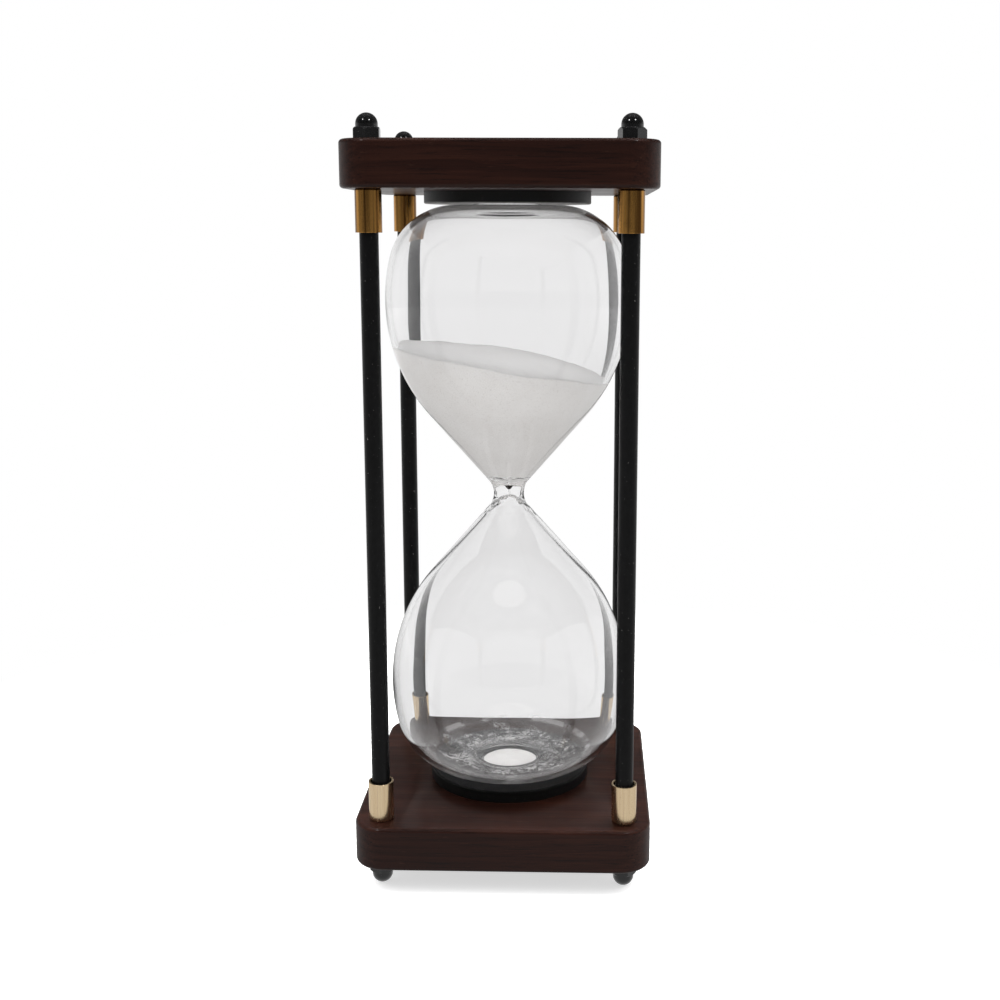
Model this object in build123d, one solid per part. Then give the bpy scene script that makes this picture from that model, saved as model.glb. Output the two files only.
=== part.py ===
from build123d import *
from math import cos, radians, sin
import os

# Hourglass in millimetres, +Z up. The origin is on the surface that the object stands on,
# under the centre of the boards. It is the same either way up, apart from its sand.

# Boards: the two square wooden end plates
board_side = 100.0
board_thickness = 15.0
board_corner_radius = 10.5
board_edge_radius = 1.2
board_gap = 209.0

# Posts: round rods with a thinner threaded stud on each end
post_pitch = 82.0
post_diameter = 6.0
stud_diameter = 4.9
stud_chamfer = 0.5
stud_hole_diameter = 5.4

# Ferrules: drawn brass cups, clamped by their floor between post and board
ferrule_diameter = 8.4
ferrule_height = 13.5
ferrule_wall = 0.6
ferrule_floor = 1.0
ferrule_base_radius = 0.6
ferrule_rim_radius = 0.15

# Nuts: low acorn nuts, which are also the feet
nut_height = 8.0
nut_across_flats = 8.0
nut_hex_height = 3.6
nut_top_diameter = 7.7
nut_dome_diameter = 7.0
nut_bore_diameter = 5.0
nut_bore_depth = 5.4
stud_grip = 5.0

# Pads: rubber rings that the glass is gripped between
pad_diameter = 57.0
pad_thickness = 4.0
pad_hole_diameter = 24.4
pad_edge_radius = 0.6

# Glass: one blown vessel. From the waist each bulb is a hollow curve, a straight flank,
# the belly's arc and the shoulder's arc, which ends flat on the side that faces the pad.
glass_wall = 1.6
waist_radius = 5.3
waist_curve_radius = 7.0
flank_deg = 41.0
belly_radius = 42.3
belly_curve_radius = 61.0
shoulder_deg = 14.0
pad_clearance = 0.3
bore_radius = 1.1
bowl_floor_height = 5.2
bowl_curve_radius = 3.5
bore_lip_radius = 1.0
mouth_radius = 9.8
mouth_board_gap = 0.4
mouth_root_radius = 1.2
mouth_lip_radius = 0.7
mouth_shoulder_radius = 2.4
tip_radius = 2.5
tip_inner_radius = 1.4

# Stopper: the plug in the vessel's mouth
stopper_clearance = 0.1
stopper_edge_height = 3.7
stopper_crown = 0.7

# Sand: it lies in the upper bulb, with its surface tilted about Y
sand_clearance = 0.15
sand_level = 47.2
sand_tilt_deg = 9.5

# Derived heights and places
board_bottom_z = nut_height
board_inner_z = board_bottom_z + board_thickness
waist_z = board_inner_z + board_gap / 2
bulb_height = board_gap / 2 - pad_thickness - pad_clearance
lip_height = board_gap / 2 - mouth_board_gap
mouth_outer_radius = mouth_radius + glass_wall
corner = post_pitch / 2
corners = {
    "front_left": (-corner, -corner),
    "front_right": (corner, -corner),
    "back_left": (-corner, corner),
    "back_right": (corner, corner),
}
nut_turn_deg = {"front_left": 3.0, "front_right": 19.0, "back_left": 11.0, "back_right": 26.0}

# Derived glass: the flank is as long as the belly's radius needs, and the shoulder's arc
# is as large as the bulb's height needs
flank_sin = sin(radians(flank_deg))
flank_cos = cos(radians(flank_deg))
shoulder_sin = sin(radians(shoulder_deg))
curve_radii = waist_curve_radius + belly_curve_radius
flank_length = (belly_radius - waist_radius - curve_radii * (1 - flank_cos)) / flank_sin
belly_height = curve_radii * flank_sin + flank_length * flank_cos
shoulder_rise = bulb_height - belly_height - belly_curve_radius * shoulder_sin
shoulder_curve_radius = shoulder_rise / (1 - shoulder_sin)


def revolved(lines):
    """The closed solid that a ring of lines sweeps about the Z axis. In the lines, X is the
    radius and Y is the height above the waist."""
    return Pos(0, 0, waist_z) * revolve(Plane.XZ * make_face(lines), Axis.Z)


def other_end(solid):
    """The same piece at the other end of the object."""
    return mirror(solid, about=Plane((0, 0, waist_z)))


def bottom_board():
    """The lower end plate: rounded corners, softened edges and four stud holes."""
    outline = RectangleRounded(board_side, board_side, board_corner_radius)
    plate = extrude(outline, board_thickness)
    rims = plate.edges().group_by(Axis.Z)[0] + plate.edges().group_by(Axis.Z)[-1]
    plate = fillet(rims, board_edge_radius)
    hole = extrude(Circle(stud_hole_diameter / 2), board_thickness)
    for place in corners.values():
        plate -= Pos(*place) * hole
    return Pos(0, 0, board_bottom_z) * plate


def post():
    """A rod between two ferrule floors, with a stud through each board into its nut."""
    rod = extrude(Circle(post_diameter / 2), board_gap - 2 * ferrule_floor)
    stud_bottom_z = board_bottom_z - stud_grip
    stud = extrude(Circle(stud_diameter / 2), 2 * (waist_z - stud_bottom_z))
    stud = chamfer(stud.edges().filter_by(GeomType.CIRCLE), stud_chamfer)
    return Pos(0, 0, board_inner_z + ferrule_floor) * rod + Pos(0, 0, stud_bottom_z) * stud


def bottom_ferrule():
    """A brass cup that stands on the lower board and is open upwards round the post."""
    radius = ferrule_diameter / 2
    cup = extrude(Circle(radius), ferrule_height)
    cup = fillet(cup.edges().group_by(Axis.Z)[0], ferrule_base_radius)
    cup -= Pos(0, 0, ferrule_floor) * extrude(Circle(radius - ferrule_wall), ferrule_height)
    cup -= extrude(Circle(stud_hole_diameter / 2), ferrule_floor)
    cup = fillet(cup.edges().group_by(Axis.Z)[-1], ferrule_rim_radius)
    return Pos(0, 0, board_inner_z) * cup


def top_nut():
    """An acorn nut with its seat on the upper board: a hexagon with trimmed corners, a dome
    and a blind bore for the stud."""
    hexagon = RegularPolygon(nut_across_flats / 2, 6, major_radius=False, rotation=30)
    nut = extrude(hexagon, nut_hex_height)
    top_radius = nut_top_diameter / 2
    cone_radius = top_radius + nut_hex_height
    nut &= Cone(cone_radius, top_radius, nut_hex_height, align=(Align.CENTER, Align.CENTER, Align.MIN))
    dome_radius = nut_dome_diameter / 2
    dome_base = nut_height - dome_radius
    nut += extrude(Circle(dome_radius), dome_base)
    nut += Pos(0, 0, dome_base) * Sphere(dome_radius)
    nut -= extrude(Circle(nut_bore_diameter / 2), nut_bore_depth)
    return Pos(0, 0, 2 * waist_z - board_bottom_z) * nut


def bottom_pad():
    """A rubber ring on the lower board. The end of the glass rests on it, and the mouth of
    the glass goes down into its hole."""
    pad = extrude(Circle(pad_diameter / 2) - Circle(pad_hole_diameter / 2), pad_thickness)
    pad = fillet(pad.edges().group_by(Axis.Z)[-1], pad_edge_radius)
    return Pos(0, 0, board_inner_z) * pad


def bulb_curves(flank_end, along, inset):
    """The belly and shoulder of the upper bulb, at an inset from the outside of the glass."""
    turn = flank_deg + shoulder_deg
    belly = JernArc(flank_end, along, belly_curve_radius - inset, turn)
    shoulder = JernArc(belly @ 1, belly % 1, shoulder_curve_radius - inset, 90 - shoulder_deg)
    return [belly, shoulder]


def outer_bulb():
    """The outside of the upper bulb, from the waist up to the flat end."""
    waist = JernArc((waist_radius, 0), (0, 1), waist_curve_radius, -flank_deg)
    flank = Line(waist @ 1, waist @ 1 + (waist % 1) * flank_length)
    return [waist, flank] + bulb_curves(flank @ 1, flank % 1, 0)


def inner_bulb(gap):
    """The inside of the upper bulb, at a gap from the glass: the bore through the waist,
    the bowl round it, the flank, the belly and the shoulder."""
    inset = glass_wall + gap
    outer_flank = outer_bulb()[1]
    along = outer_flank % 1
    flank_end = outer_flank @ 1 + along.rotate(Axis.Z, 90) * inset
    floor = bowl_floor_height + gap
    flank_foot = flank_end + along * ((floor - flank_end.Y) / along.Y)
    bore = bore_radius - gap
    bowl = FilletPolyline((bore, 0), (bore, floor), flank_foot, flank_end,
                          radius=[bore_lip_radius, bowl_curve_radius])
    return [bowl] + bulb_curves(flank_end, along, inset)


def glass_vessel():
    """Two bulbs and a waist, open at the lower mouth and sealed at the upper tip."""
    outer = outer_bulb()
    inner = inner_bulb(0)
    outer_end = outer[-1] @ 1
    inner_end = inner[-1] @ 1
    mouth = FilletPolyline(
        outer_end,
        (mouth_outer_radius, outer_end.Y),
        (mouth_outer_radius, lip_height),
        (mouth_radius, lip_height),
        (mouth_radius, inner_end.Y),
        inner_end,
        radius=[mouth_root_radius, mouth_lip_radius, mouth_lip_radius, mouth_shoulder_radius],
    )
    tip = FilletPolyline(
        outer_end,
        (mouth_outer_radius, outer_end.Y),
        (mouth_outer_radius, lip_height),
        (0, lip_height),
        (0, lip_height - glass_wall),
        (mouth_radius, lip_height - glass_wall),
        (mouth_radius, inner_end.Y),
        inner_end,
        radius=[mouth_root_radius, tip_radius, 0, 0, tip_inner_radius, mouth_shoulder_radius],
    )
    lower_half = [mirror(line, about=Plane.XZ) for line in outer + [mouth] + inner]
    return revolved(outer + [tip] + inner + lower_half)


def stopper():
    """The plug in the mouth, with a low crowned top that faces into the bulb."""
    radius = mouth_radius - stopper_clearance
    edge_height = stopper_edge_height - lip_height
    crown = TangentArc((0, edge_height + stopper_crown), (radius, edge_height), tangent=(1, 0))
    sides = Polyline(crown @ 1, (radius, -lip_height), (0, -lip_height), crown @ 0)
    return revolved([crown, sides])


def sand():
    """The fill of the upper bulb, from the rounded lip of the bore up to a tilted surface."""
    wall_lines = inner_bulb(sand_clearance)
    top = wall_lines[-1] @ 1
    waist = wall_lines[0] @ 0
    core = Polyline(top, (0, top.Y), (0, waist.Y), waist)
    fill = revolved(wall_lines + [core])
    surface = Plane((0, 0, waist_z + sand_level)).rotated((0, sand_tilt_deg, 0))
    fill = split(fill, bisect_by=surface, keep=Keep.BOTTOM)
    lip_foot = Plane((0, 0, waist_z + bowl_floor_height - bore_lip_radius))
    return split(fill, bisect_by=lip_foot, keep=Keep.TOP)


parts = {
    "bottom_board": bottom_board(),
    "top_board": other_end(bottom_board()),
    "bottom_pad": bottom_pad(),
    "top_pad": other_end(bottom_pad()),
    "glass_vessel": glass_vessel(),
    "stopper": stopper(),
    "sand": sand(),
}
for name, place in corners.items():
    at_corner = Pos(*place)
    turned_nut = Rot(0, 0, nut_turn_deg[name]) * top_nut()
    parts["post_" + name] = at_corner * post()
    parts["bottom_ferrule_" + name] = at_corner * bottom_ferrule()
    parts["top_ferrule_" + name] = at_corner * other_end(bottom_ferrule())
    parts["bottom_nut_" + name] = at_corner * other_end(turned_nut)
    parts["top_nut_" + name] = at_corner * turned_nut

os.makedirs("parts", exist_ok=True)
for name, solid in parts.items():
    export_step(solid, "parts/" + name + ".step")
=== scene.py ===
import math
import random

import bmesh
import bpy
import numpy as np
from mathutils import Matrix, Vector, noise


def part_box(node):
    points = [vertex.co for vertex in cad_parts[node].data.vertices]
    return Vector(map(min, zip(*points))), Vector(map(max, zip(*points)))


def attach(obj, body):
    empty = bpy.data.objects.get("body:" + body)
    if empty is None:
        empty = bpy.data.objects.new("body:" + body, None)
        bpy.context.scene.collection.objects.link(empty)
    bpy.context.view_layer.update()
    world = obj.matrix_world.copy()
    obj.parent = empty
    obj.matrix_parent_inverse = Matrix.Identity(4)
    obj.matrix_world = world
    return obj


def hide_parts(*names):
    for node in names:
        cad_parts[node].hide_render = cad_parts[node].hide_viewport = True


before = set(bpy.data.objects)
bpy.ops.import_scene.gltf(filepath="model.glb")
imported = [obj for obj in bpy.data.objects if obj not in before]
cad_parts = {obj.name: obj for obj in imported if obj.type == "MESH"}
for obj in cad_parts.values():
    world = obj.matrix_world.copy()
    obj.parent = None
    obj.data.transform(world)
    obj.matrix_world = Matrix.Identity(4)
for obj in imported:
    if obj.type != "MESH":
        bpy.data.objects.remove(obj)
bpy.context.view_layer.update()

MM = 0.001

# ---------------------------------------------------------------- places from the frame
vessel_low, vessel_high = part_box("glass_vessel")
sand_low, sand_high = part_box("sand")
pad_top_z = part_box("bottom_pad")[1].z
pad_clearance = 0.3 * MM

waist_z = (vessel_low.z + vessel_high.z) / 2
belly_radius = vessel_high.x
lip_height = vessel_high.z - waist_z
bulb_height = waist_z - pad_top_z - pad_clearance

# ---------------------------------------------------------------- sizes of the glass
# The outside, the belly and the mouth are as in the frame's vessel
glass_wall = 1.6 * MM
waist_radius = 5.3 * MM
waist_curve_radius = 7.0 * MM
flank_angle = math.radians(41.0)
belly_curve_radius = 61.0 * MM
shoulder_angle = math.radians(14.0)
mouth_radius = 9.8 * MM
mouth_root_radius = 1.2 * MM
mouth_lip_radius = 0.7 * MM
mouth_shoulder_radius = 2.4 * MM
tip_radius = 2.5 * MM
tip_inner_radius = 1.4 * MM

# The neck is closed in round a fine bore, more so than in the frame's vessel. Below the waist
# the bore flares into a cone.
bore_radius = 0.14 * MM
bowl_floor_height = 6.5 * MM
bowl_curve_radius = 3.5 * MM
orifice_radius = 0.18 * MM
orifice_height = 0.15 * MM
flare_radius = 2.2 * orifice_radius
flare_height = 0.35 * MM
cone_foot_height = 0.9 * MM
cone_foot_radius = 0.8 * MM

# The pocket in the upper side of the neck, which starts at the orifice, and the dark piece of painted
# shade in it:
# points of (radius, height above the waist) in millimetres
pocket_outline = [(0.18, 0.15), (0.18, 2.10), (0.86, 4.20), (0.80, 4.32), (0.14, 4.42)]
painted_shade_outline = [(0.05, 2.22), (0.33, 2.55), (0.60, 3.35), (0.85, 4.12), (0.82, 4.26), (0.14, 4.36)]
painted_shade_overlap = 0.03 * MM

# The unevenness of the blown walls: a slow drift, thick glass over the upper side of the
# neck and lumps near the waist. It fades out towards the axis.
outer_drift = 0.05 * MM
inner_drift = 0.06 * MM
neck_thickening = 2.6 * MM
neck_fade_height = 3.0 * MM
neck_full_radius = 4.5 * MM
outer_lump = 0.20 * MM
inner_lump = 0.42 * MM
lump_reach = 9.5 * MM
lump_full_radius = 2.0 * MM
even_radius = 0.5 * MM

# How finely the glass and the sand are drawn
vessel_columns = 256
waist_steps = 12
flank_steps = 24
belly_steps = 44
shoulder_steps = 30
corner_steps = 8
bowl_steps = 12
bowl_floor_steps = 8
cone_steps = 60
weld_distance = 1e-7

# ---------------------------------------------------------------- sizes of the sand
# The sand reaches just into the glass, so that no film of air shows between them
sand_gap = -0.02 * MM
sand_slope = math.tan(math.radians(9.5))
sand_level = sand_high.z - waist_z + sand_slope * sand_low.x
sand_edge_fall = 0.9 * MM
dip_x = 2.0 * MM
dip_depth = 0.5 * MM
dip_width = 9.0 * MM
grain_count = 1800
grain_spread = 7.5 * MM
grain_lift = 0.1 * MM

# ---------------------------------------------------------------- light levels
# The backdrop as it shows through the glass, the room's light on what is inside the glass,
# its light from straight above on the rest, and the same two for light from the floor
backdrop_level = 0.93
inside_level = 2.0
ambient_level = 17.0
floor_inside_level = 1.2
floor_bounce_level = 0.11

# The two lamps stand in front, turned from it by the azimuth in degrees to either side
lamp_azimuth = 38
lamp_elevation = 45
lamp_distance = 1.0
lamp_size = 0.10
lamp_power = 1.6


# ---------------------------------------------------------------- outlines
def arc(centre, radius, start, end, steps):
    """Points of an arc in (radius, height), from one angle to another."""
    angles = [start + (end - start) * i / steps for i in range(steps + 1)]
    return [(centre[0] + radius * math.cos(a), centre[1] + radius * math.sin(a)) for a in angles]


def rounded_path(points, radii, steps=corner_steps):
    """A path through points whose inner corners are rounded, one radius for each corner."""
    path = [points[0]]
    for before, point, after, radius in zip(points, points[1:], points[2:], radii):
        if radius == 0:
            path.append(point)
            continue
        here = Vector(point)
        back = (Vector(before) - here).normalized()
        on = (Vector(after) - here).normalized()
        half = back.angle(on) / 2
        centre = here + (back + on).normalized() * (radius / math.sin(half))
        start = (here + back * (radius / math.tan(half)) - centre).normalized()
        end = (here + on * (radius / math.tan(half)) - centre).normalized()
        path += [tuple(centre + start.slerp(end, i / steps) * radius) for i in range(steps + 1)]
    path.append(points[-1])
    return path


def split_line(start, end, steps):
    """Evenly spaced points between two points, without the first."""
    return [tuple(Vector(start).lerp(Vector(end), i / steps)) for i in range(1, steps + 1)]


# The flank is as long as the belly's radius needs, and the shoulder's arc is as large as
# the bulb's height needs
curve_radii = waist_curve_radius + belly_curve_radius
flank_length = belly_radius - waist_radius - curve_radii * (1 - math.cos(flank_angle))
flank_length /= math.sin(flank_angle)
belly_height = curve_radii * math.sin(flank_angle) + flank_length * math.cos(flank_angle)
shoulder_rise = bulb_height - belly_height - belly_curve_radius * math.sin(shoulder_angle)
shoulder_curve_radius = shoulder_rise / (1 - math.sin(shoulder_angle))
belly_centre = (belly_radius - belly_curve_radius, belly_height)
shoulder_centre = (
    belly_centre[0] + (belly_curve_radius - shoulder_curve_radius) * math.cos(shoulder_angle),
    belly_centre[1] + (belly_curve_radius - shoulder_curve_radius) * math.sin(shoulder_angle),
)


def bulb_curves(inset):
    """The belly and the shoulder of a bulb, at an inset from the outside of the glass."""
    belly_arc_radius = belly_curve_radius - inset
    belly = arc(belly_centre, belly_arc_radius, -flank_angle, shoulder_angle, belly_steps)
    shoulder_arc_radius = shoulder_curve_radius - inset
    shoulder = arc(shoulder_centre, shoulder_arc_radius, shoulder_angle, math.pi / 2, shoulder_steps)
    return belly + shoulder[1:]


def outer_bulb():
    """The outside of the upper bulb from the waist, as (radius, height above the waist)."""
    centre = (waist_radius + waist_curve_radius, 0)
    waist = arc(centre, waist_curve_radius, math.pi, math.pi - flank_angle, waist_steps)
    curves = bulb_curves(0)
    return waist + split_line(waist[-1], curves[0], flank_steps)[:-1] + curves


def inner_flank(gap, height):
    """The radius of the inside of the flank at a height above the waist."""
    top_radius, top_height = bulb_curves(glass_wall + gap)[0]
    return top_radius - (top_height - height) * math.tan(flank_angle)


def upper_inside(gap):
    """The inside of the upper bulb: a bore with a pointed pocket, a bowl and the flank."""
    curves = bulb_curves(glass_wall + gap)
    floor_height = bowl_floor_height + gap
    pocket = [(r * MM, h * MM) for r, h in pocket_outline]
    corners = [(bore_radius, floor_height), (inner_flank(gap, floor_height), floor_height), curves[0]]
    bowl = rounded_path(corners, [bowl_curve_radius], bowl_steps)
    bowl = [bowl[0]] + split_line(bowl[0], bowl[1], bowl_floor_steps)[:-1] + bowl[1:-1]
    return pocket + bowl + split_line(bowl[-1], curves[0], flank_steps)[:-1] + curves


def lower_inside():
    """The inside of the lower bulb, as if it were the upper one: a cone up to the orifice."""
    curves = bulb_curves(glass_wall)
    orifice, flare = (orifice_radius, orifice_height), (flare_radius, flare_height)
    foot = (inner_flank(0, cone_foot_height), cone_foot_height)
    cone = rounded_path([orifice, flare, foot, curves[0]], [0, cone_foot_radius])
    return cone[:-1] + split_line(cone[-2], curves[0], cone_steps)[:-1] + curves


# ---------------------------------------------------------------- mesh helpers
def ring(columns):
    """The directions of evenly spaced columns round the axis, as (x, y)."""
    turns = [2 * math.pi * column / columns for column in range(columns)]
    return [(math.cos(turn), math.sin(turn)) for turn in turns]


def mesh_object(name, vertices, faces, material, body, smooth=True):
    """A mesh piece that rides on a body."""
    mesh = bpy.data.meshes.new(name)
    mesh.from_pydata(vertices, [], faces)
    welded = bmesh.new()
    welded.from_mesh(mesh)
    bmesh.ops.remove_doubles(welded, verts=welded.verts, dist=weld_distance)
    bmesh.ops.recalc_face_normals(welded, faces=welded.faces)
    welded.to_mesh(mesh)
    welded.free()
    mesh.polygons.foreach_set("use_smooth", [smooth] * len(mesh.polygons))
    mesh.materials.append(material)
    piece = bpy.data.objects.new(name, mesh)
    bpy.context.scene.collection.objects.link(piece)
    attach(piece, body)
    return piece


def swept_faces(rows, columns):
    """Quads of a grid whose columns run round the axis and close on themselves."""
    faces = []
    for row in range(rows - 1):
        here, above = row * columns, (row + 1) * columns
        for column in range(columns):
            beside = (column + 1) % columns
            faces.append((here + column, here + beside, above + beside, above + column))
    return faces


# ---------------------------------------------------------------- material helpers
class Nodes:
    """A node tree under construction."""

    def __init__(self, tree):
        self.tree = tree

    def add(self, kind, inputs=None, **settings):
        """A new node, with its settings, values and links."""
        made = self.tree.nodes.new(kind)
        for key, value in settings.items():
            setattr(made, key, value)
        for key, value in (inputs or {}).items():
            self.set(made.inputs[key], value)
        return made

    def set(self, socket, value):
        """Links an output to a socket, or gives the socket a value."""
        if isinstance(value, bpy.types.NodeSocket):
            self.tree.links.new(value, socket)
        else:
            socket.default_value = value

    def range(self, value, low, high, to_low=0.0, to_high=1.0):
        """Maps a value from one range to another, clamped."""
        inputs = {"Value": value, "From Min": low, "From Max": high, "To Min": to_low, "To Max": to_high}
        return self.add("ShaderNodeMapRange", inputs).outputs["Result"]

    def math(self, operation, *values):
        """A maths node on one, two or three values."""
        return self.add("ShaderNodeMath", dict(enumerate(values)), operation=operation).outputs[0]

    def product(self, *values):
        """The product of two or more values."""
        result = values[0]
        for value in values[1:]:
            result = self.math("MULTIPLY", result, value)
        return result

    def part(self, vector, axis):
        """A vector's part along one axis."""
        return self.add("ShaderNodeSeparateXYZ", {0: vector}).outputs[axis]

    def ramp(self, value, *stops):
        """A colour ramp with stops of (place, colour)."""
        made = self.add("ShaderNodeValToRGB", {"Fac": value})
        elements = made.color_ramp.elements
        while len(elements) < len(stops):
            elements.new(0.5)
        for element, (place, colour) in zip(elements, stops):
            element.position = place
            element.color = (*colour, 1.0)
        return made.outputs["Color"]

    def choose(self, test, chosen, otherwise):
        """One number where a test holds, and another where it doesn't."""
        made = self.add("ShaderNodeMix", {"Factor": test}, data_type="FLOAT")
        for name, value in (("A", otherwise), ("B", chosen)):
            sockets = [socket for socket in made.inputs if socket.name == name]
            self.set(next(socket for socket in sockets if socket.type == "VALUE"), value)
        return made.outputs["Result"]


class Material(Nodes):
    """A node material under construction."""

    def __init__(self, name):
        self.material = bpy.data.materials.new(name)
        self.material.use_nodes = True
        super().__init__(self.material.node_tree)
        self.shader = self.tree.nodes["Principled BSDF"]
        self.position = self.add("ShaderNodeTexCoord").outputs["Object"]

    def shade(self, **inputs):
        """Sets the shader's sockets. An underscore in a name stands for a space."""
        for key, value in inputs.items():
            self.set(self.shader.inputs[key.replace("_", " ")], value)

    def noise(self, scale, detail=4.0, roughness=0.55):
        """Noise over the object, with its own scale along each axis in 1/m."""
        scaled = self.add("ShaderNodeVectorMath", {0: self.position, 1: scale}, operation="MULTIPLY")
        inputs = {"Vector": scaled.outputs[0], "Scale": 1.0, "Detail": detail, "Roughness": roughness}
        return self.add("ShaderNodeTexNoise", inputs).outputs["Fac"]

    def even_noise(self, scale, detail=4.0, roughness=0.55):
        """Noise over the object, with the same scale along every axis."""
        return self.noise((scale, scale, scale), detail, roughness)

    def mix(self, factor, first, second):
        """A mix of two colours."""
        made = self.add("ShaderNodeMix", {"Factor": factor}, data_type="RGBA")
        sockets = [socket for socket in made.inputs if socket.type == "RGBA"]
        for socket, colour in zip(sockets, (first, second)):
            value = colour if isinstance(colour, bpy.types.NodeSocket) else (*colour, 1.0)
            self.set(socket, value)
        return next(socket for socket in made.outputs if socket.type == "RGBA")

    def swayed(self, tone, pattern, strength):
        """A tone that a pattern makes lighter and darker."""
        return self.math("MULTIPLY_ADD", self.math("SUBTRACT", pattern, 0.5), strength, tone)

    def bump(self, height, strength, distance, below=None):
        """A bump from a height, over another bump if there is one."""
        inputs = {"Height": height, "Strength": strength, "Distance": distance}
        if below is not None:
            inputs["Normal"] = below
        return self.add("ShaderNodeBump", inputs).outputs["Normal"]

    def normal(self):
        """The direction that the surface faces."""
        return self.add("ShaderNodeNewGeometry").outputs["Normal"]


def repaint(nodes, material):
    """Gives frame nodes a material in place of their plain one."""
    for name in nodes:
        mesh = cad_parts[name].data
        mesh.materials.clear()
        mesh.materials.append(material)


# ---------------------------------------------------------------- materials
def year_rings(m):
    """The late wood of rings round a heart that lies in front of the boards, between them."""
    heart_y, heart_z, ring_pitch, warp_depth = -85 * MM, 210 * MM, 3.1 * MM, 11 * MM
    across = m.math("ADD", m.part(m.position, "Y"), -heart_y)
    height = m.math("ADD", m.part(m.position, "Z"), -heart_z)
    square = m.math("ADD", m.math("POWER", across, 2.0), m.math("POWER", height, 2.0))
    warp = m.noise((9, 55, 55), detail=3.0)
    distance = m.math("MULTIPLY_ADD", warp, warp_depth, m.math("SQRT", square))
    phase = m.math("FRACT", m.math("DIVIDE", distance, ring_pitch))
    return m.math("POWER", phase, 2.2)


def worn_edges(m, fibre):
    """Where the surface turns a sharp corner, broken up by the fibres."""
    bevel = m.add("ShaderNodeBevel", {"Radius": 0.7 * MM}, samples=4).outputs["Normal"]
    inputs = {0: bevel, 1: m.normal()}
    facing = m.add("ShaderNodeVectorMath", inputs, operation="DOT_PRODUCT").outputs["Value"]
    return m.product(m.range(facing, 0.995, 0.93), m.range(fibre, 0.40, 0.62))


def wood_material():
    """Dark walnut stain under satin lacquer, with its grain along X."""
    m = Material("walnut")
    fibre = m.noise((18, 620, 620), detail=5.0, roughness=0.62)
    streak = m.noise((7, 160, 160))
    cloud = m.noise((14, 24, 24), detail=2.0)
    pores = m.range(m.noise((70, 1900, 1900), detail=2.0), 0.56, 0.70)
    flecks = m.range(m.noise((130, 1500, 1500), detail=2.0), 0.66, 0.76)
    tone = m.math("MULTIPLY_ADD", year_rings(m), -0.12, 0.5)
    for pattern, strength in ((fibre, 0.65), (streak, 0.20), (cloud, 0.60)):
        tone = m.swayed(tone, pattern, strength)
    dark, middle, light = (0.0070, 0.0021, 0.0013), (0.0235, 0.0068, 0.0042), (0.0560, 0.0190, 0.0110)
    colour = m.ramp(tone, (0.10, dark), (0.48, middle), (0.90, light))
    colour = m.mix(m.product(pores, 0.70), colour, (0.0040, 0.0016, 0.0012))
    colour = m.mix(m.product(flecks, 0.30), colour, (0.110, 0.052, 0.034))
    colour = m.mix(m.product(worn_edges(m, fibre), 0.5), colour, (0.060, 0.027, 0.019))
    relief = m.bump(pores, 0.25, -0.05 * MM)
    relief = m.bump(fibre, 0.10, 0.05 * MM, relief)
    relief = m.bump(m.noise((60, 90, 90), detail=2.0), 0.10, 0.3 * MM, relief)
    lacquer_relief = m.bump(m.noise((90, 140, 140), detail=2.0), 0.06, 0.2 * MM)
    m.shade(Base_Color=colour, Roughness=m.range(streak, 0.3, 0.7, 0.42, 0.56), Normal=relief)
    m.shade(Specular_IOR_Level=0.10)
    m.shade(Coat_Weight=0.22, Coat_Roughness=0.14, Coat_Normal=lacquer_relief)
    return m.material


def brass_material(name, light, dark, stripe_share):
    """Drawn brass with fine lengthwise scratches, darker stripes and slight tarnish."""
    m = Material(name)
    scratches = m.noise((2600, 2600, 60), roughness=0.6)
    stripes = m.range(m.noise((620, 620, 9), detail=3.0), 0.42, 0.62)
    cloud = m.range(m.noise((180, 180, 120), detail=3.0), 0.6, 0.8)
    spots = m.range(m.noise((1300, 1300, 1100), detail=2.0), 0.64, 0.74)
    colour = m.mix(m.product(stripes, stripe_share), light, dark)
    colour = m.mix(m.product(m.range(scratches, 0.5, 0.72), 0.35), colour, dark)
    colour = m.mix(m.product(m.math("MAXIMUM", spots, cloud), 0.4), colour, dark)
    m.shade(Base_Color=colour, Metallic=1.0, Roughness=m.range(scratches, 0.3, 0.7, 0.16, 0.30),
            Normal=m.bump(scratches, 0.15, 0.03 * MM))
    return m.material


def black_paint_material(name, roughness, coat, specks):
    """Black paint with a faint orange peel and a few specks of dust."""
    m = Material(name)
    peel = m.noise((900, 900, 500), detail=2.0)
    dust = m.range(m.even_noise(1500, detail=1.0), 0.74, 0.80)
    colour = m.mix(m.range(peel, 0.3, 0.7), (0.0040, 0.0040, 0.0042), (0.0066, 0.0066, 0.0069))
    colour = m.mix(m.product(dust, specks), colour, (0.35, 0.34, 0.33))
    rough = m.range(m.noise((220, 220, 60), detail=3.0), 0.3, 0.7, roughness - 0.05, roughness + 0.07)
    m.shade(Base_Color=colour, Roughness=rough, Normal=m.bump(peel, 0.06, 0.05 * MM))
    m.shade(Specular_IOR_Level=0.14, Coat_Weight=coat, Coat_Roughness=0.06)
    return m.material


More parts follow.
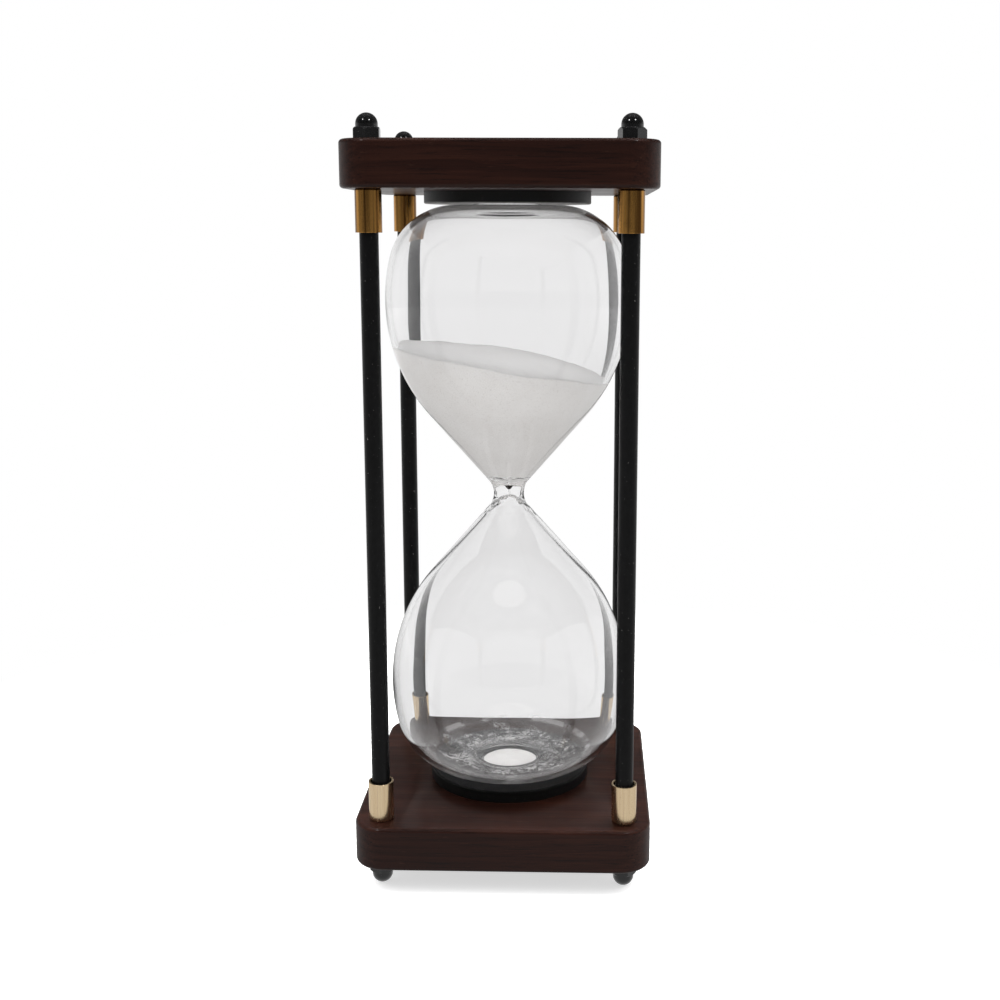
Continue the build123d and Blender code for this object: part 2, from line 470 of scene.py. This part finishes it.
def rubber_material():
    """Matt black rubber with a fine grain and a little dust, and painted light on its underside: a pale
    grey that stands in for the light it catches from the glass and backdrop.
    """
    m = Material("pad_rubber")
    grain = m.even_noise(3200, detail=3.0)
    dust = m.range(m.even_noise(700, detail=5.0, roughness=0.7), 0.60, 0.78)
    painted_light_below = m.range(m.part(m.normal(), "Z"), -0.3, -0.8)
    colour = m.mix(m.range(grain, 0.3, 0.7), (0.0045, 0.0045, 0.0045), (0.0095, 0.0093, 0.0090))
    colour = m.mix(m.product(dust, 0.12), colour, (0.25, 0.24, 0.23))
    # Painted light: faces that look down are painted pale grey, standing in for the light they catch
    # from the glass and backdrop.
    colour = m.mix(m.product(painted_light_below, 0.85), colour, (0.40, 0.39, 0.38))
    m.shade(Base_Color=colour, Roughness=m.range(grain, 0.3, 0.7, 0.36, 0.54))
    m.shade(Specular_IOR_Level=0.25, Normal=m.bump(grain, 0.35, 0.06 * MM))
    return m.material


clear_tint = (0.985, 0.983, 0.985)


def glass_material():
    """Clear blown glass."""
    m = Material("blown_glass")
    m.shade(Base_Color=(*clear_tint, 1.0), Transmission_Weight=1.0, IOR=1.5, Roughness=0.0)
    return m.material


def floor_dust(m, radius):
    """Specks in drifts on the floor of the bulb, from near the mouth out to a ragged edge."""
    cells = m.add("ShaderNodeTexVoronoi", {"Vector": m.position, "Scale": 1250.0})
    cell_tone = m.add("ShaderNodeSeparateColor", {0: cells.outputs["Color"]}).outputs[0]
    drifts = m.range(m.even_noise(420, roughness=0.7), 0.35, 0.65, 0.78, 0.30)
    specks = m.math("GREATER_THAN", cell_tone, drifts)
    outward = m.range(radius, 12.2 * MM, 16.0 * MM)
    ragged_radius = m.math("MULTIPLY_ADD", m.even_noise(130, detail=3.0), 22.0 * MM, radius)
    inward = m.range(ragged_radius, 38.0 * MM, 31.0 * MM)
    return m.product(m.math("MULTIPLY_ADD", specks, 0.70, 0.10), outward, inward)


def rim_painted_light(m, radius):
    """Painted light: a pale band round the edge of the floor, wider and denser on the front side,
    mottled by a cloud. It stands in for the floor's light coming through the thick base.
    """
    front = m.range(m.part(m.position, "Y"), -4 * MM, -20 * MM)
    outer_edge = m.range(front, 0.0, 1.0, 30.2 * MM, 35.0 * MM)
    band = m.product(m.range(radius, 27.2 * MM, 28.8 * MM), m.math("LESS_THAN", radius, outer_edge))
    cloud = m.range(m.even_noise(90), 0.42, 0.58)
    return m.product(band, m.math("ADD", m.product(front, 0.40), m.product(cloud, 0.38)))


def dust_and_painted_light_glass_material():
    """The inner face of the glass: clear, with fine sand dust low down in the lower bulb and a band of
    painted light round the edge of its floor.
    """
    m = Material("dust_and_painted_light_glass")
    inputs = {0: m.position, 1: (1.0, 1.0, 0.0)}
    flat = m.add("ShaderNodeVectorMath", inputs, operation="MULTIPLY").outputs[0]
    radius = m.add("ShaderNodeVectorMath", {0: flat}, operation="LENGTH").outputs["Value"]
    low = m.range(m.part(m.position, "Z"), vessel_low.z + 14.5 * MM, vessel_low.z + 8.0 * MM)
    cloud = m.range(m.even_noise(110, detail=6.0, roughness=0.7), 0.36, 0.58)
    smudge = m.product(m.range(m.noise((45, 45, 70), detail=5.0), 0.62, 0.80), 0.03)
    haze = m.product(m.math("MULTIPLY_ADD", cloud, 0.06, 0.05), low)
    dust = m.math("MAXIMUM", smudge, haze)
    dust = m.math("MAXIMUM", dust, m.product(floor_dust(m, radius), cloud, low))
    # Painted light: the pale band round the edge of the floor joins the dust in the same mask.
    dust = m.math("MAXIMUM", dust, m.product(rim_painted_light(m, radius), low))
    m.shade(Base_Color=m.mix(dust, clear_tint, (0.80, 0.79, 0.78)),
            Transmission_Weight=m.math("SUBTRACT", 1.0, dust), IOR=1.5, Roughness=0.0)
    return m.material


def sand_material():
    """Fine white sand with a few grey grains, and painted light: it is painted whiter on the faces that
    look up.
    """
    m = Material("white_sand")
    grains = m.add("ShaderNodeTexVoronoi", {"Vector": m.position, "Scale": 3300.0})
    grain_tone = m.add("ShaderNodeSeparateColor", {0: grains.outputs["Color"]}).outputs[0]
    painted_top_light = m.part(m.normal(), "Z")
    colour = m.mix(m.range(m.even_noise(70), 0.3, 0.7), (0.83, 0.81, 0.79), (0.90, 0.885, 0.87))
    colour = m.mix(m.range(grain_tone, 0.75, 1.0, 0.0, 0.35), colour, (0.95, 0.94, 0.93))
    colour = m.mix(m.range(grain_tone, 0.08, 0.0, 0.0, 0.28), colour, (0.42, 0.38, 0.34))
    # Painted light: the faces that look up are painted whiter, where light falls on the top of the sand.
    colour = m.mix(m.range(painted_top_light, 0.3, 0.8, 0.0, 0.8), colour, (0.96, 0.955, 0.945))
    relief = m.bump(grains.outputs["Distance"], 0.5, -0.12 * MM)
    relief = m.bump(m.even_noise(900), 0.25, 0.15 * MM, relief)
    m.shade(Base_Color=colour, Roughness=0.85, Normal=relief)
    m.shade(Specular_IOR_Level=0.25, Sheen_Weight=0.6, Sheen_Roughness=0.7)
    return m.material


def painted_shade_material():
    """Painted shade: a dark, grainy colour for the dark piece in the neck."""
    m = Material("dark_painted_shade")
    grit = m.even_noise(2400, detail=3.0)
    colour = m.mix(m.range(grit, 0.3, 0.7), (0.010, 0.008, 0.008), (0.045, 0.036, 0.034))
    m.shade(Base_Color=colour, Roughness=0.8, Normal=m.bump(grit, 0.5, 0.08 * MM))
    m.shade(Specular_IOR_Level=0.2)
    return m.material


def stopper_material():
    """White moulded plastic with a trace of dust."""
    m = Material("white_plastic")
    cloud = m.even_noise(260)
    colour = m.mix(m.range(cloud, 0.35, 0.7), (0.84, 0.825, 0.81), (0.91, 0.90, 0.885))
    m.shade(Base_Color=colour, Roughness=m.range(cloud, 0.3, 0.7, 0.42, 0.6),
            Normal=m.bump(m.even_noise(1100, detail=2.0), 0.15, 0.05 * MM))
    return m.material


# ---------------------------------------------------------------- glass and sand
def wall_drift(spot, inside):
    """The slow drift of a face of the blown wall. The outside only drifts inwards."""
    if inside:
        return inner_drift * noise.noise(spot * 55.0)
    wave = noise.noise(spot * 38.0 + Vector((3.1, 7.7, 1.9)))
    return -outer_drift * (0.5 + 0.5 * wave)


def neck_swell(radius, height):
    """How far the thick glass over the neck reaches in from the upper bulb's true inside."""
    above_bowl = max(0.0, height - bowl_floor_height)
    fade = math.exp(-above_bowl / neck_fade_height)
    return neck_thickening * fade * min(1.0, radius / neck_full_radius)


def waist_lumps(spot, radius, height, inside):
    """The lumps in the glass near the waist."""
    scale, size = (620.0, inner_lump) if inside else (420.0, outer_lump)
    near_waist = max(0.0, 1.0 - abs(height) / lump_reach)
    lumps = noise.noise(spot * scale + Vector((0.4, 0.8, 5.2)))
    return near_waist * lumps * size * min(1.0, radius / lump_full_radius)


def unevenness(spot, radius, height, inside):
    """How far a point of the blown glass lies from its true outline."""
    if radius < even_radius:
        return 0.0
    offset = wall_drift(spot, inside) + waist_lumps(spot, radius, height, inside)
    if inside and height > 0:
        offset -= neck_swell(radius, height)
    return offset


def vessel_outline():
    """The vessel's closed outline, from the outside of the sealed tip down to the mouth and
    up again inside, and the number of its rows that are outside."""
    outer, inner = outer_bulb(), upper_inside(0)
    outer_end, inner_end = outer[-1], inner[-1]
    mouth_outer = mouth_radius + glass_wall
    tip_height = lip_height - glass_wall
    mouth = rounded_path(
        [outer_end, (mouth_outer, outer_end[1]), (mouth_outer, lip_height),
         (mouth_radius, lip_height), (mouth_radius, inner_end[1]), inner_end],
        [mouth_root_radius, mouth_lip_radius, mouth_lip_radius, mouth_shoulder_radius])
    tip_outside = rounded_path(
        [outer_end, (mouth_outer, outer_end[1]), (mouth_outer, lip_height), (0, lip_height)],
        [mouth_root_radius, tip_radius])
    tip_inside = rounded_path(
        [(0, tip_height), (mouth_radius, tip_height), (mouth_radius, inner_end[1]), inner_end],
        [tip_inner_radius, mouth_shoulder_radius])
    upper_outside = tip_outside[::-1] + outer[::-1][1:]
    lower = [(r, -h) for r, h in outer[1:] + mouth[1:-1] + lower_inside()[::-1]]
    outside_rows = len(upper_outside) + len(outer) + len(mouth) // 2
    return upper_outside + lower + inner + tip_inside[::-1][1:], outside_rows


def faces_inside(polygon):
    """True for a face of the vessel's inside: a wall that looks at the axis, or the flat
    floor of a bulb."""
    centre, normal = polygon.center, polygon.normal
    if Vector((centre.x, centre.y, 0)).dot(normal) < 0:
        return True
    return abs(normal.z) > 0.95 and abs(centre.z - waist_z) < bulb_height - glass_wall / 2


def glass_bulbs(material, inner_material):
    """The blown vessel: two bulbs with uneven walls, a lumpy waist, a mouth and a sealed tip."""
    outline, outside_rows = vessel_outline()
    vertices = []
    for row, (radius, height) in enumerate(outline):
        for x, y in ring(vessel_columns):
            direction = Vector((x, y, 0))
            spot = direction * radius + Vector((0, 0, height))
            offset = unevenness(spot, radius, height, row >= outside_rows)
            vertices.append(direction * (radius + offset) + Vector((0, 0, waist_z + height)))
    faces = swept_faces(len(outline), vessel_columns)
    made = mesh_object("glass_bulbs", vertices, faces, material, "glass")
    made.data.materials.append(inner_material)
    for polygon in made.data.polygons:
        polygon.material_index = int(faces_inside(polygon))
    return made


def surface_height(x, y):
    """The height of the sand's surface above the waist."""
    spot = Vector((x, y, 0.0))
    roll = 0.9 * MM * noise.noise(spot * 45.0) + 0.25 * MM * noise.noise(spot * 160.0)
    grains = 0.10 * MM * noise.noise(spot * 1400.0)
    dip = dip_depth * math.exp(-((x - dip_x) ** 2 + y ** 2) / (2 * dip_width ** 2))
    fall = sand_edge_fall * (x / belly_radius) ** 2
    return sand_level - sand_slope * x - fall + roll + grains - dip


def surface_reach(profile, length, x, y):
    """How far along the wall's profile the sand's surface meets it, in one direction."""
    gaps = [surface_height(r * x, r * y) - h for r, h in profile]
    last = max(i for i, gap in enumerate(gaps) if gap > 0)
    share = gaps[last] / (gaps[last] - gaps[last + 1])
    return length[last] + share * (length[last + 1] - length[last])


def sand_fill(material):
    """The sand in the upper bulb, with an uneven, tilted surface."""
    profile = upper_inside(sand_gap)
    bowl_start = next(i for i, point in enumerate(profile) if point[1] >= bowl_floor_height + sand_gap)
    bare_points = 20
    profile = np.array(profile[bowl_start:-bare_points])
    length = np.concatenate([[0], np.cumsum(np.hypot(*np.diff(profile, axis=0).T))])
    directions = ring(vessel_columns)
    reaches = [surface_reach(profile, length, x, y) for x, y in directions]
    side_rows, top_rows = 70, 60
    vertices = []
    for row in range(side_rows + 1):
        for (x, y), reach in zip(directions, reaches):
            along = reach * row / side_rows
            radius, height = (float(np.interp(along, length, profile[:, axis])) for axis in (0, 1))
            radius += unevenness(Vector((radius * x, radius * y, height)), radius, height, True)
            vertices.append((radius * x, radius * y, waist_z + height))
    edge = vertices[-vessel_columns:]
    for row in range(1, top_rows):
        share = 1 - row / top_rows
        for x, y, _ in edge:
            vertices.append((x * share, y * share, waist_z + surface_height(x * share, y * share)))
    rows = side_rows + top_rows
    faces = swept_faces(rows, vessel_columns)
    for row, height in ((0, profile[0][1]), (rows - 1, surface_height(0, 0))):
        vertices.append((0, 0, waist_z + height))
        middle, start = len(vertices) - 1, row * vessel_columns
        for column in range(vessel_columns):
            faces.append((middle, start + column, start + (column + 1) % vessel_columns))
    return mesh_object("sand_fill", vertices, faces, material, "glass")


def neck_painted_shade(material):
    """Painted shade: a dark, pointed piece in the upper side of the neck, where the neck shows a dark
    image.
    """
    columns = 24
    vertices = []
    for radius, height in painted_shade_outline:
        width = radius * MM + painted_shade_overlap
        vertices += [(width * x, width * y, waist_z + height * MM) for x, y in ring(columns)]
    faces = swept_faces(len(painted_shade_outline), columns)
    faces.append(tuple(range(columns)))
    faces.append(tuple(range(len(vertices) - columns, len(vertices))))
    return mesh_object("neck_painted_shade", vertices, faces, material, "glass")


def grain_points(draw, place, size):
    """The six corners of a grain, turned and stretched at random."""
    turn = draw.uniform(0, math.pi)
    points = []
    for dx, dy, dz in ((1, 0, 0), (0, 1, 0), (-1, 0, 0), (0, -1, 0), (0, 0, 1), (0, 0, -1)):
        stretch = size * draw.uniform(0.7, 1.2)
        points.append((place[0] + stretch * (dx * math.cos(turn) - dy * math.sin(turn)),
                       place[1] + stretch * (dx * math.sin(turn) + dy * math.cos(turn)),
                       place[2] + stretch * dz * 0.7))
    return points


def loose_grains(material):
    """Single grains on the floor of the lower bulb, fewer towards its side."""
    draw = random.Random(41)
    inside = lower_inside()
    radii, heights = zip(*inside[:-shoulder_steps - 1:-1])
    widest = inside[-shoulder_steps - 1][0]
    vertices, faces = [], []
    for _ in range(grain_count):
        turn = draw.uniform(0, 2 * math.pi)
        radius = mouth_radius + mouth_shoulder_radius + abs(draw.gauss(0, grain_spread))
        size = draw.uniform(0.05, 0.13) * MM
        if radius > widest:
            continue
        floor_z = waist_z - np.interp(radius, radii, heights)
        base = len(vertices)
        place = (radius * math.cos(turn), radius * math.sin(turn), floor_z + size * 0.9 + grain_lift)
        vertices += grain_points(draw, place, size)
        for i in range(4):
            here, beside = base + i, base + (i + 1) % 4
            faces.append((here, beside, base + 4))
            faces.append((beside, here, base + 5))
    return mesh_object("loose_grains", vertices, faces, material, "glass", smooth=False)


# ---------------------------------------------------------------- camera, lights and floor
def camera():
    """The camera, in front of the object, a little to the right and looking slightly down."""
    place = Vector((28.42, -454.7, 220.81)) * MM
    yaw, pitch, roll = 0.0226, 0.1773, 0.0034
    data = bpy.data.cameras.new("camera")
    data.sensor_width = 36.0
    data.lens = 47.06
    data.shift_x = -0.06
    data.shift_y = -0.04
    made = bpy.data.objects.new("camera", data)
    level = Matrix.Rotation(yaw, 4, "Z") @ Matrix.Rotation(math.pi / 2 - pitch, 4, "X")
    made.matrix_world = Matrix.Translation(place) @ level @ Matrix.Rotation(roll, 4, "Z")
    bpy.context.scene.collection.objects.link(made)
    bpy.context.scene.camera = made


def soft_light(name, azimuth, lit):
    """A square soft light that faces the middle of the object and lights one collection."""
    data = bpy.data.lights.new(name, "AREA")
    data.size = lamp_size
    data.energy = lamp_power
    made = bpy.data.objects.new(name, data)
    a, e = math.radians(azimuth), math.radians(lamp_elevation)
    away = Vector((math.sin(a) * math.cos(e), -math.cos(a) * math.cos(e), math.sin(e)))
    made.location = Vector((0, 0, waist_z)) + away * lamp_distance
    made.rotation_euler = away.to_track_quat("Z", "Y").to_euler()
    made.visible_camera = False
    made.light_linking.receiver_collection = lit
    bpy.context.scene.collection.objects.link(made)


def light_level(m, clear_gloss, inner_gloss, gloss, inside, ambient):
    """The light that a ray meets where it leaves the object. The camera sees white, and the
    backdrop through glass. Smooth surfaces mirror clear_gloss and rougher ones gloss, and
    light that was reflected within the glass comes from inner_gloss. Matt surfaces are lit
    by ambient, or by inside where they are seen or lit through the glass."""
    rays = m.add("ShaderNodeLightPath").outputs
    reflected, refracted, scattered = (
        m.math("GREATER_THAN", rays[depth], 0.5)
        for depth in ("Glossy Depth", "Transmission Depth", "Diffuse Depth"))
    mirrored = m.choose(rays["Is Singular Ray"], clear_gloss, gloss)
    through = m.choose(reflected, inner_gloss, backdrop_level)
    seen = m.choose(rays["Is Transmission Ray"], through, mirrored)
    seen = m.choose(scattered, m.choose(refracted, inside, ambient), seen)
    return m.choose(rays["Is Camera Ray"], 1.0, seen)


def studio():
    """A white room whose light comes mostly from above and behind. It is dim on the side that
    faces the front of the object."""
    world = bpy.data.worlds.new("studio")
    bpy.context.scene.world = world
    world.use_nodes = True
    m = Nodes(world.node_tree)
    direction = m.add("ShaderNodeTexCoord").outputs["Generated"]

    def along(axis, *stops):
        """A level that goes with how far a direction leans along an axis, from -1 to 1."""
        lean = m.range(m.part(direction, axis), -1.0, 1.0)
        return m.ramp(lean, *[((place + 1) / 2, (level, level, level)) for place, level in stops])

    ambient = m.product(along("Z", (0.0, 0.05), (0.5, 0.16), (1.0, 1.0)),
                        along("Y", (-1.0, 0.02), (-0.2, 0.23), (0.3, 1.0)), ambient_level)
    gloss = m.product(along("Z", (0.0, 0.90), (0.25, 0.14), (0.8, 0.12), (1.0, 0.35)),
                      along("Y", (-1.0, 0.15), (-0.3, 0.30), (0.2, 1.0)))
    clear_gloss = along("Y", (-1.0, 0.14), (0.2, 0.17), (0.95, 0.85))
    inner_gloss = m.product(along("Y", (-1.0, 0.18), (0.0, 0.50), (0.4, 0.93)),
                            along("Z", (0.08, 1.0), (0.35, 0.40)))
    level = light_level(m, clear_gloss, inner_gloss, gloss, inside_level, ambient)
    m.set(m.tree.nodes["Background"].inputs["Color"], level)


def floor_material():
    """Pale paint near the object, which fades into the white of the room. Rays that don't come
    from the camera meet the room's levels instead, brighter towards the back."""
    m = Material("pale_floor")
    m.shade(Base_Color=(0.60, 0.60, 0.60, 1.0), Roughness=0.9, Specular_IOR_Level=0.0)
    m.shade(Emission_Color=(1, 1, 1, 1), Emission_Strength=0.62)
    depth = m.part(m.position, "Y")
    clear_gloss = m.range(depth, 0.05, 0.80, 0.17, 0.85)
    inner_gloss = m.range(depth, -0.30, 0.30, 0.60, 0.93)
    gloss = m.range(depth, -0.05, 0.40, 0.68, 0.95)
    level = light_level(m, clear_gloss, inner_gloss, gloss, floor_inside_level, floor_bounce_level)
    glow = m.add("ShaderNodeEmission", {"Color": level, "Strength": 1.0})
    is_camera_ray = m.add("ShaderNodeLightPath").outputs["Is Camera Ray"]
    distance = m.add("ShaderNodeVectorMath", {0: m.position}, operation="LENGTH").outputs["Value"]
    fade = m.math("MAXIMUM", m.range(distance, 0.10, 0.30), m.math("SUBTRACT", 1.0, is_camera_ray))
    blend = m.add("ShaderNodeMixShader", {0: fade, 1: m.shader.outputs[0], 2: glow.outputs[0]})
    m.set(m.tree.nodes["Material Output"].inputs["Surface"], blend.outputs[0])
    return m.material


def floor():
    """A plain round floor under the object."""
    radius, columns = 2.4, 96
    vertices = [(0, 0, 0)] + [(radius * x, radius * y, 0) for x, y in ring(columns)]
    faces = [(0, 1 + i, 1 + (i + 1) % columns) for i in range(columns)]
    mesh = bpy.data.meshes.new("floor")
    mesh.from_pydata(vertices, [], faces)
    mesh.materials.append(floor_material())
    made = bpy.data.objects.new("floor", mesh)
    bpy.context.scene.collection.objects.link(made)


# ---------------------------------------------------------------- the object
names = list(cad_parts)
aged_brass = brass_material("aged_brass", (0.62, 0.32, 0.085), (0.10, 0.042, 0.011), 0.90)
pale_brass = brass_material("pale_brass", (0.83, 0.65, 0.42), (0.62, 0.44, 0.25), 0.35)
post_paint = black_paint_material("post_paint", roughness=0.34, coat=0.0, specks=0.5)
nut_paint = black_paint_material("nut_paint", roughness=0.22, coat=0.9, specks=0.15)
repaint([name for name in names if name.endswith("_board")], wood_material())
repaint([name for name in names if name.startswith("top_ferrule_")], aged_brass)
repaint([name for name in names if name.startswith("bottom_ferrule_")], pale_brass)
repaint([name for name in names if name.startswith("post_")], post_paint)
repaint([name for name in names if "_nut_" in name], nut_paint)
repaint([name for name in names if name.endswith("_pad")], rubber_material())
repaint(["stopper"], stopper_material())

bulbs = glass_bulbs(glass_material(), dust_and_painted_light_glass_material())
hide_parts("glass_vessel")
white_sand = sand_material()
fill = sand_fill(white_sand)
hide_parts("sand")
# Painted shade: a dark piece in the neck
painted_shade = neck_painted_shade(painted_shade_material())
grains = loose_grains(white_sand)

camera()
studio()
floor()

# The lamps' highlights would clutter the glass and what is in it
lit = bpy.data.collections.new("lit_by_lamps")
for name in names:
    if name not in ("glass_vessel", "sand", "stopper"):
        lit.objects.link(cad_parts[name])
soft_light("left_light", -lamp_azimuth, lit)
soft_light("right_light", lamp_azimuth, lit)
bpy.context.scene.view_settings.view_transform = "Standard"
